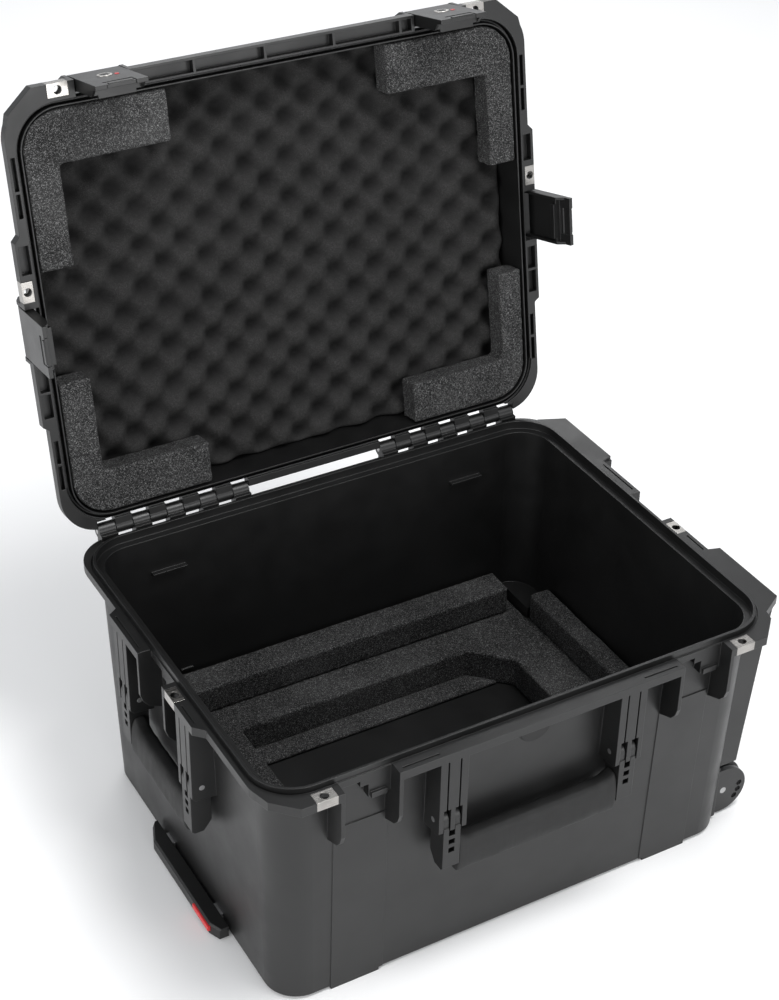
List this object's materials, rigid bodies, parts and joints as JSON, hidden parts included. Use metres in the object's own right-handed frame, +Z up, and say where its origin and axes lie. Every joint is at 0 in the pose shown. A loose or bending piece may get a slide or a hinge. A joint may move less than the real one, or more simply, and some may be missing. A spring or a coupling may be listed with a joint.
{
  "type": "hard equipment case",
  "caption": "Wheeled hard transport case, stored open, with hinged lid, draw latches, swinging carry handles, pull-out handle and a cut foam lining.",
  "frame": {"origin": "on the ground under the middle of the base tub, at the centre pad's underside", "axes": "+X along the length towards the wheels, -Y out of the front with its handle, +Z up; the lid is stored open 100 degrees about the back edge"},
  "size_m": [0.6332, 0.6253, 0.792],
  "materials": {
    "shell_plastic": "satin moulded",
    "latch_plastic": "satin moulded",
    "grip_rubber": "matte",
    "seal_rubber": "matte",
    "foam": "grainy closed cell foam",
    "egg_foam": "soft open cell foam",
    "panel_plastic": "smooth",
    "bright_steel": "nickel plated",
    "steel_pin": "brushed",
    "tube_aluminium": "anodised",
    "red_plastic": "glossy",
    "wheel_plastic": "satin",
    "tyre": "matte"
  },
  "bodies": {
    "base": {"base_shell": "shell_plastic", "base_lock_plates": "bright_steel", "hinge_pins": "steel_pin", "vent_cap": "shell_plastic", "foam_cradle": "foam", "foam_back_bar": "foam", "foam_right_bar": "foam", "foam_recess_step": "foam", "recess_panel": "panel_plastic", "handle_pins": "steel_pin", "wheel_brackets": "shell_plastic", "wheel_axles": "steel_pin", "tube_sleeves": "tube_aluminium", "tube_clips": "shell_plastic"},
    "lid": {"lid_shell": "shell_plastic", "lid_seal": "seal_rubber", "lid_lock_plates": "bright_steel", "lid_egg_foam": "egg_foam", "lid_foam_front_left": "foam", "lid_foam_front_right": "foam", "lid_foam_back_left": "foam", "lid_foam_back_right": "foam", "latch_pins": "steel_pin"},
    "pull_handle": {"pull_bar": "shell_plastic", "pull_tubes": "tube_aluminium"},
    "release_button": {"release_button": "red_plastic"},
    "latch_front_left": {"latch_front_left_plate": "latch_plastic", "latch_front_left_indicator": "red_plastic"},
    "trigger_front_left": {"latch_front_left_trigger": "latch_plastic"},
    "key_front_left": {"latch_front_left_key_barrel": "bright_steel"},
    "latch_front_right": {"latch_front_right_plate": "latch_plastic", "latch_front_right_indicator": "red_plastic"},
    "trigger_front_right": {"latch_front_right_trigger": "latch_plastic"},
    "key_front_right": {"latch_front_right_key_barrel": "bright_steel"},
    "latch_left": {"latch_left_plate": "latch_plastic"},
    "trigger_left": {"latch_left_trigger": "latch_plastic"},
    "latch_right": {"latch_right_plate": "latch_plastic"},
    "trigger_right": {"latch_right_trigger": "latch_plastic"},
    "handle_front": {"handle_front_frame": "shell_plastic", "handle_front_grip": "grip_rubber"},
    "handle_left": {"handle_left_frame": "shell_plastic", "handle_left_grip": "grip_rubber"},
    "handle_right": {"handle_right_frame": "shell_plastic", "handle_right_grip": "grip_rubber"},
    "wheel_front": {"wheel_front_hub": "wheel_plastic", "wheel_front_tyre": "tyre"},
    "wheel_back": {"wheel_back_hub": "wheel_plastic", "wheel_back_tyre": "tyre"}
  },
  "joints": [
    {"name": "lid_hinge", "type": "hinge", "parent": "base", "child": "lid", "pos_m": [0, 0.241, 0.3], "axis": [1, 0, 0], "range_deg": [0, 100]},
    {"name": "latch_front_left_hinge", "type": "hinge", "parent": "lid", "child": "latch_front_left", "pos_m": [-0.193, 0.34121, 0.76466], "axis": [-1, 0, 0], "range_deg": [-2, 93]},
    {"name": "trigger_front_left_hinge", "type": "hinge", "parent": "latch_front_left", "child": "trigger_front_left", "pos_m": [-0.193, 0.27558, 0.78679], "axis": [1, 0, 0], "range_deg": [0, 8], "stiffness_Nm_per_rad": 0.05, "springref_deg": -2.86},
    {"name": "key_front_left_turn", "type": "hinge", "parent": "latch_front_left", "child": "key_front_left", "pos_m": [-0.193, 0.31016, 0.78209], "axis": [0, 0.2079, 0.9781], "range_deg": [0, 90]},
    {"name": "latch_front_right_hinge", "type": "hinge", "parent": "lid", "child": "latch_front_right", "pos_m": [0.193, 0.34121, 0.76466], "axis": [-1, 0, 0], "range_deg": [-2, 93]},
    {"name": "trigger_front_right_hinge", "type": "hinge", "parent": "latch_front_right", "child": "trigger_front_right", "pos_m": [0.193, 0.27558, 0.78679], "axis": [1, 0, 0], "range_deg": [0, 8], "stiffness_Nm_per_rad": 0.05, "springref_deg": -2.86},
    {"name": "key_front_right_turn", "type": "hinge", "parent": "latch_front_right", "child": "key_front_right", "pos_m": [0.193, 0.31016, 0.78209], "axis": [0, 0.2079, 0.9781], "range_deg": [0, 90]},
    {"name": "latch_left_hinge", "type": "hinge", "parent": "lid", "child": "latch_left", "pos_m": [-0.298, 0.29971, 0.52929], "axis": [0, -0.1736, -0.9848], "range_deg": [-2, 93]},
    {"name": "trigger_left_hinge", "type": "hinge", "parent": "latch_left", "child": "trigger_left", "pos_m": [-0.3064, 0.2322, 0.54119], "axis": [0, 0.1736, 0.9848], "range_deg": [0, 8], "stiffness_Nm_per_rad": 0.05, "springref_deg": -2.86},
    {"name": "latch_right_hinge", "type": "hinge", "parent": "lid", "child": "latch_right", "pos_m": [0.298, 0.29971, 0.52929], "axis": [0, 0.1736, 0.9848], "range_deg": [-12, 83]},
    {"name": "trigger_right_hinge", "type": "hinge", "parent": "latch_right", "child": "trigger_right", "pos_m": [0.31817, 0.23466, 0.54076], "axis": [0, -0.1736, -0.9848], "range_deg": [0, 8], "stiffness_Nm_per_rad": 0.05, "springref_deg": -2.86},
    {"name": "handle_front_hinge", "type": "hinge", "parent": "base", "child": "handle_front", "pos_m": [0, -0.233, 0.205], "axis": [-1, 0, 0], "range_deg": [0, 95]},
    {"name": "handle_left_hinge", "type": "hinge", "parent": "base", "child": "handle_left", "pos_m": [-0.296, 0.005, 0.205], "axis": [0, 1, 0], "range_deg": [0, 95]},
    {"name": "handle_right_hinge", "type": "hinge", "parent": "base", "child": "handle_right", "pos_m": [0.296, 0.005, 0.205], "axis": [0, -1, 0], "range_deg": [0, 95]},
    {"name": "pull_handle_slide", "type": "slide", "parent": "base", "child": "pull_handle", "axis": [-1, 0, 0], "range_m": [0, 0.38]},
    {"name": "release_button_press", "type": "slide", "parent": "pull_handle", "child": "release_button", "axis": [1, 0, 0], "range_m": [0, 0.002], "stiffness_N_per_m": 400, "springref_m": -0.001},
    {"name": "wheel_front_spin", "type": "hinge", "parent": "base", "child": "wheel_front", "pos_m": [0.286, -0.165, 0.033], "axis": [0, 1, 0], "continuous": true},
    {"name": "wheel_back_spin", "type": "hinge", "parent": "base", "child": "wheel_back", "pos_m": [0.286, 0.18, 0.033], "axis": [0, 1, 0], "continuous": true}
  ]
}
